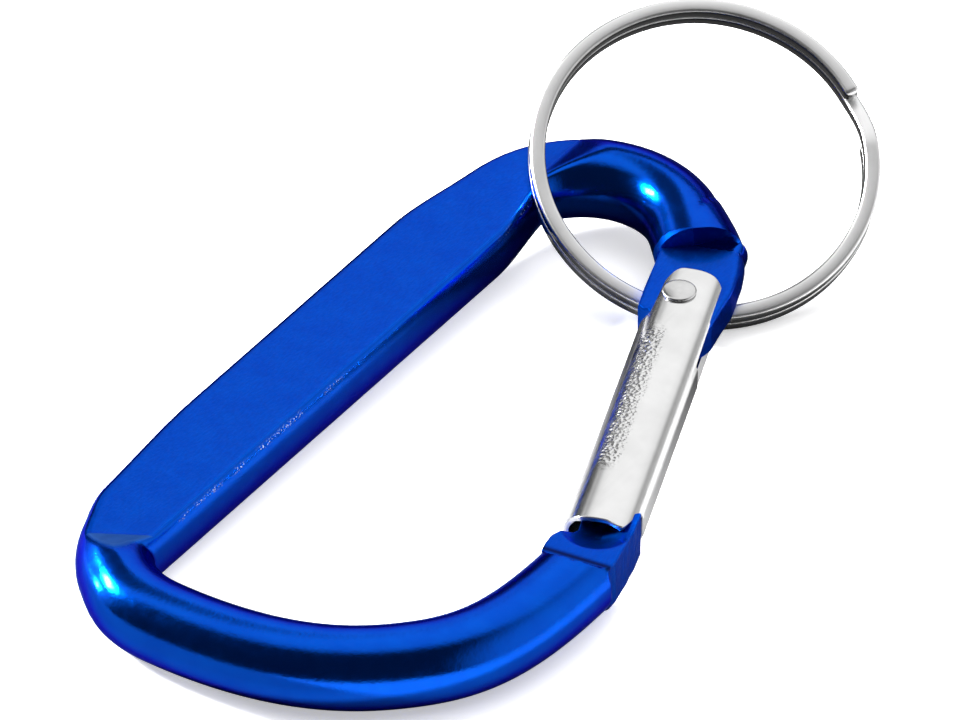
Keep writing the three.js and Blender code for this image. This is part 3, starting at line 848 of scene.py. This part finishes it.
def anodised_blue():
    """Dyed aluminium: clean on the round rod, drawn and mottled where it was pressed."""
    look = Look("blue_anodised", BLUE[:3], 1.0, 0.2)
    pressed, sheared, edge = look.mask("pressed"), look.mask("sheared"), look.mask("edge")
    crescent = look.mask("crescent")
    clouds = look.span(look.noise(420, 4), 0.35, 0.65, 0, 1)
    grain = look.noise(6500, 2, rough=0.8)
    drawn = look.noise(5200, 2, (1, 0.3, 1), 0.7)
    base = look.mix(clouds, BLUE, BLUE_LIGHT)
    mottle = look.math("MULTIPLY", look.span(drawn, 0.35, 0.65, 0, 0.35), pressed)
    base = look.mix(mottle, base, BLUE_MOTTLE)
    base = look.mix(look.math("MULTIPLY", sheared, 0.6), base, BLUE_SHEARED)
    base = look.mix(look.math("MULTIPLY", crescent, 0.75), base, BLUE_DULL)
    # painted shade: darkens the corner of the nose's step in the base colour
    base = look.mix(look.math("MULTIPLY", look.mask("step_shade"), 0.95), base, BLUE_STEP_SHADE)
    dots = look.cells(5200)
    patches = look.span(look.noise(500, 2), 0.47, 0.54, 0, 1)
    worn = look.math("MULTIPLY", look.span(dots, 0.26, 0.4, 1, 0), patches)
    sparkle = look.math("MULTIPLY", edge, worn)
    look.set("Base Color", look.mix(sparkle, base, BARE_METAL))
    look.set("Specular Tint", BLUE_EDGE_TINT)
    rough = look.span(look.noise(900, 3), 0.3, 0.7, 0.14, 0.2)
    rough = look.math("ADD", rough, look.math("MULTIPLY", pressed, 0.16))
    dull = look.math("MAXIMUM", crescent, sparkle)
    rough = look.math("ADD", rough, look.math("MULTIPLY", dull, 0.3))
    look.set("Roughness", look.math("ADD", rough, look.math("MULTIPLY", sheared, 0.2)))
    look.set("Coat Weight", 0.05)
    look.set("Coat Roughness", 0.1)
    look.set("Coat IOR", 1.6)
    torn = look.math("MULTIPLY", look.noise(1500, 3, (1, 1, 0.12)), sheared)
    look.bump([
        (look.noise(600, 2), 0.12, 0.05),
        (look.noise(2800, 3), 0.6, 0.02),
        (grain, 0.45, 0.015),
        (look.math("MULTIPLY", drawn, pressed), 0.5, 0.02),
        (torn, 0.9, 0.2),
    ])
    return look.material


def nickel(name, tone, rough, stretch=(1, 1, 1), wear=0.1, brushed=None, bore_shade_tone=None, dented=False):
    """Plated metal. brushed is a mask and the roughness it adds, and bore_shade_tone the near-black tone
    painted as shade on the bore side.
    """
    look = Look(name, (tone, tone, tone), 1.0, rough)
    streaks = look.noise(2600, 3, stretch)
    clouds = look.span(look.noise(260, 3), 0.3, 0.7, 0, 1)
    dark = tone * (1 - wear)
    base = look.mix(clouds, (tone, tone, tone, 1), (dark, dark, dark, 1))
    # painted shade: the bore side's near-black base stands in for the dark it mirrors
    if bore_shade_tone:
        base = look.mix(look.mask("dull"), base, (bore_shade_tone, bore_shade_tone, bore_shade_tone, 1))
    look.set("Base Color", base)
    spread = look.span(streaks, 0.3, 0.7, rough * 0.75, rough * 1.3)
    if brushed:
        mask, extra = brushed
        spread = look.math("ADD", spread, look.math("MULTIPLY", look.mask(mask), extra))
    look.set("Roughness", spread)
    layers = [(streaks, 0.14, 0.02), (look.noise(420, 2), 0.04, 0.08)]
    if dented:
        dents = look.cells(3000)
        layers.append((look.math("MULTIPLY", dents, look.mask("dented")), 0.8, 0.12))
        layers.append((look.math("MULTIPLY", look.noise(4200, 3), look.mask("dented")), 0.6, 0.06))
    look.bump(layers)
    return look.material


build_body(anodised_blue())
build_gate(nickel("gate_nickel", 0.74, 0.17, (1, 0.06, 1), brushed=("cut", 0.15), dented=True))
build_rivet(nickel("rivet_nickel", 0.66, 0.2, wear=0.25))
build_spring(nickel("spring_wire", 0.45, 0.3, (1, 0.1, 1)))
# the ring's bore side gets a painted shade tone of 0.07
build_ring(nickel("ring_nickel", 0.82, 0.06, brushed=("face", 0.26), bore_shade_tone=0.07))


# ------------------------------------------------------------------ floor and light

FLOOR_TONE = (0.92, 0.92, 0.92)
FLOOR_MIRRORED = (0.09, 0.42, 0.22, 0.6)    # its tone in the metal: behind, inside, in front, beside
FLOOR_GLOW = 0.45                           # lifts the shadows the camera sees
FLOOR_HALF = 900
FLOOR_DROP = 0.03                           # a hair below the object's lowest point
FLOOR_RISE = (19.0, 61.0)                   # the tilt starts at the first y and takes the second's run


def build_floor():
    """A plain pale floor that the ring's lowest point and the lower bow both touch."""
    low, run = FLOOR_RISE
    slope = SHIFT[2] / run
    corners = []
    for x, y in ((-1, -1), (1, -1), (1, 1), (-1, 1)):
        height = slope * (low - y * FLOOR_HALF) - FLOOR_DROP
        corners.append((x * FLOOR_HALF * MM, y * FLOOR_HALF * MM, height * MM))
    mesh = bpy.data.meshes.new("floor")
    mesh.from_pydata(corners, [], [(0, 1, 2, 3)])
    floor = bpy.data.objects.new("floor", mesh)
    bpy.context.scene.collection.objects.link(floor)
    look = Look("floor_white", FLOOR_TONE, 0.0, 0.8)
    paths = look.add("ShaderNodeLightPath")
    split = look.add("ShaderNodeSeparateXYZ", Vector=look.coordinates)
    behind, inside, in_front, beside = FLOOR_MIRRORED
    far = look.span(split.outputs["Y"], 2 * MM, 16 * MM, inside - behind, 0)
    near = look.span(split.outputs["Y"], -35 * MM, -50 * MM, 0, in_front - inside)
    right = look.span(split.outputs["X"], 11 * MM, 17 * MM, 0, beside)
    mirrored = look.math("ADD", look.math("ADD", far, near), behind)
    mirrored = look.math("MAXIMUM", mirrored, right)
    look.set("Base Color", look.mix(paths.outputs["Is Glossy Ray"], (*FLOOR_TONE, 1), mirrored))
    look.set("Emission Color", (1, 1, 1, 1))
    look.set("Emission Strength", look.math("MULTIPLY", paths.outputs["Is Camera Ray"], FLOOR_GLOW))
    look.set("Specular IOR Level", 0.0)
    mesh.materials.append(look.material)


def softbox(name, place, size, power, mirrored=True):
    """A rectangular lamp facing the object's middle."""
    light = bpy.data.lights.new(name, "AREA")
    light.shape = "RECTANGLE"
    light.size, light.size_y = size
    light.energy = power
    lamp = bpy.data.objects.new(name, light)
    bpy.context.scene.collection.objects.link(lamp)
    lamp.location = place
    lamp.rotation_euler = (-Vector(place)).to_track_quat("-Z", "Y").to_euler()
    lamp.visible_glossy = mirrored


# The studio's pale screens: where each one's middle lies, the cosines between which it fades in and
# how bright it is at the edge of its even part and in its middle.
SCREENS = (
    ((-0.35, 0.52, 0.78), 0.60, 0.78, 1.00, 1.20),
    ((0.86, 0.50, 0.10), 0.58, 0.86, 0.80, 1.00),
    ((-0.968, -0.136, 0.208), 0.86, 0.95, 1.00, 1.40),
)
# Black cards that shade them: middle, and the cosines between which each fades in.
CARDS = (
    ((-0.674, 0.314, 0.669), 0.93, 0.97),
    ((-0.82, 0.52, 0.15), 0.95, 0.985),
)
STUDIO_DARK = 0.06
CARD_TONE = 0.12
BACKDROP = 0.97


def build_world():
    """A dark studio with pale screens and black cards; the camera sees a plain pale backdrop."""
    world = bpy.data.worlds.new("studio")
    bpy.context.scene.world = world
    world.use_nodes = True
    tree = world.node_tree
    direction = tree.nodes.new("ShaderNodeTexCoord").outputs["Generated"]

    def patch(side, stops):
        """A tone for each direction by its angle from a side, as (cosine, tone) stops."""
        towards = tree.nodes.new("ShaderNodeVectorMath")
        towards.operation = "DOT_PRODUCT"
        tree.links.new(direction, towards.inputs[0])
        towards.inputs[1].default_value = tuple(Vector(side).normalized())
        ramp = tree.nodes.new("ShaderNodeValToRGB")
        tree.links.new(towards.outputs["Value"], ramp.inputs["Fac"])
        elements = ramp.color_ramp.elements
        elements[0].position, elements[0].color = stops[0][0], (*[stops[0][1]] * 3, 1)
        elements[1].position, elements[1].color = stops[-1][0], (*[stops[-1][1]] * 3, 1)
        for cosine, tone in stops[1:-1]:
            elements.new(cosine).color = (tone, tone, tone, 1)
        return ramp.outputs["Color"]

    def combine(operation, first, second):
        node = tree.nodes.new("ShaderNodeMath")
        node.operation = operation
        tree.links.new(first, node.inputs[0])
        if isinstance(second, float):
            node.inputs[1].default_value = second
        else:
            tree.links.new(second, node.inputs[1])
        return node.outputs["Value"]

    total = STUDIO_DARK
    for side, fade_in, even, edge_tone, middle_tone in SCREENS:
        screen = patch(side, [(fade_in, 0), (even, edge_tone), (1.0, middle_tone)])
        total = combine("ADD", screen, total)
    for side, fade_in, full in CARDS:
        total = combine("MULTIPLY", total, patch(side, [(fade_in, 1), (full, CARD_TONE)]))
    seen = tree.nodes.new("ShaderNodeMix")
    paths = tree.nodes.new("ShaderNodeLightPath")
    tree.links.new(paths.outputs["Is Camera Ray"], seen.inputs["Factor"])
    tree.links.new(total, seen.inputs["A"])
    seen.inputs["B"].default_value = BACKDROP
    tree.links.new(seen.outputs["Result"], tree.nodes["Background"].inputs["Color"])


CAMERA_AT = (285.6, -409.5, 399.8)
CAMERA_AIM = (-0.4476, 0.6485, -0.6157)
CAMERA_LENS = 292.3


def build_camera():
    camera = bpy.data.objects.new("camera", bpy.data.cameras.new("camera"))
    bpy.context.scene.collection.objects.link(camera)
    camera.data.lens = CAMERA_LENS
    camera.data.clip_start = 0.01
    camera.location = (np.array(CAMERA_AT) + SHIFT) * MM
    camera.rotation_euler = Vector(CAMERA_AIM).to_track_quat("-Z", "Y").to_euler()
    bpy.context.scene.camera = camera


build_floor()
build_world()
softbox("overhead", (0.1, 0.1, 1.1), (1.5, 1.5), 14, mirrored=False)
softbox("left", (-0.59, -0.135, 0.36), (0.16, 0.11), 19)
softbox("left_low", (-0.6, -0.16, 0.10), (0.05, 0.05), 1.6)
build_camera()
bpy.context.scene.view_settings.view_transform = "Standard"
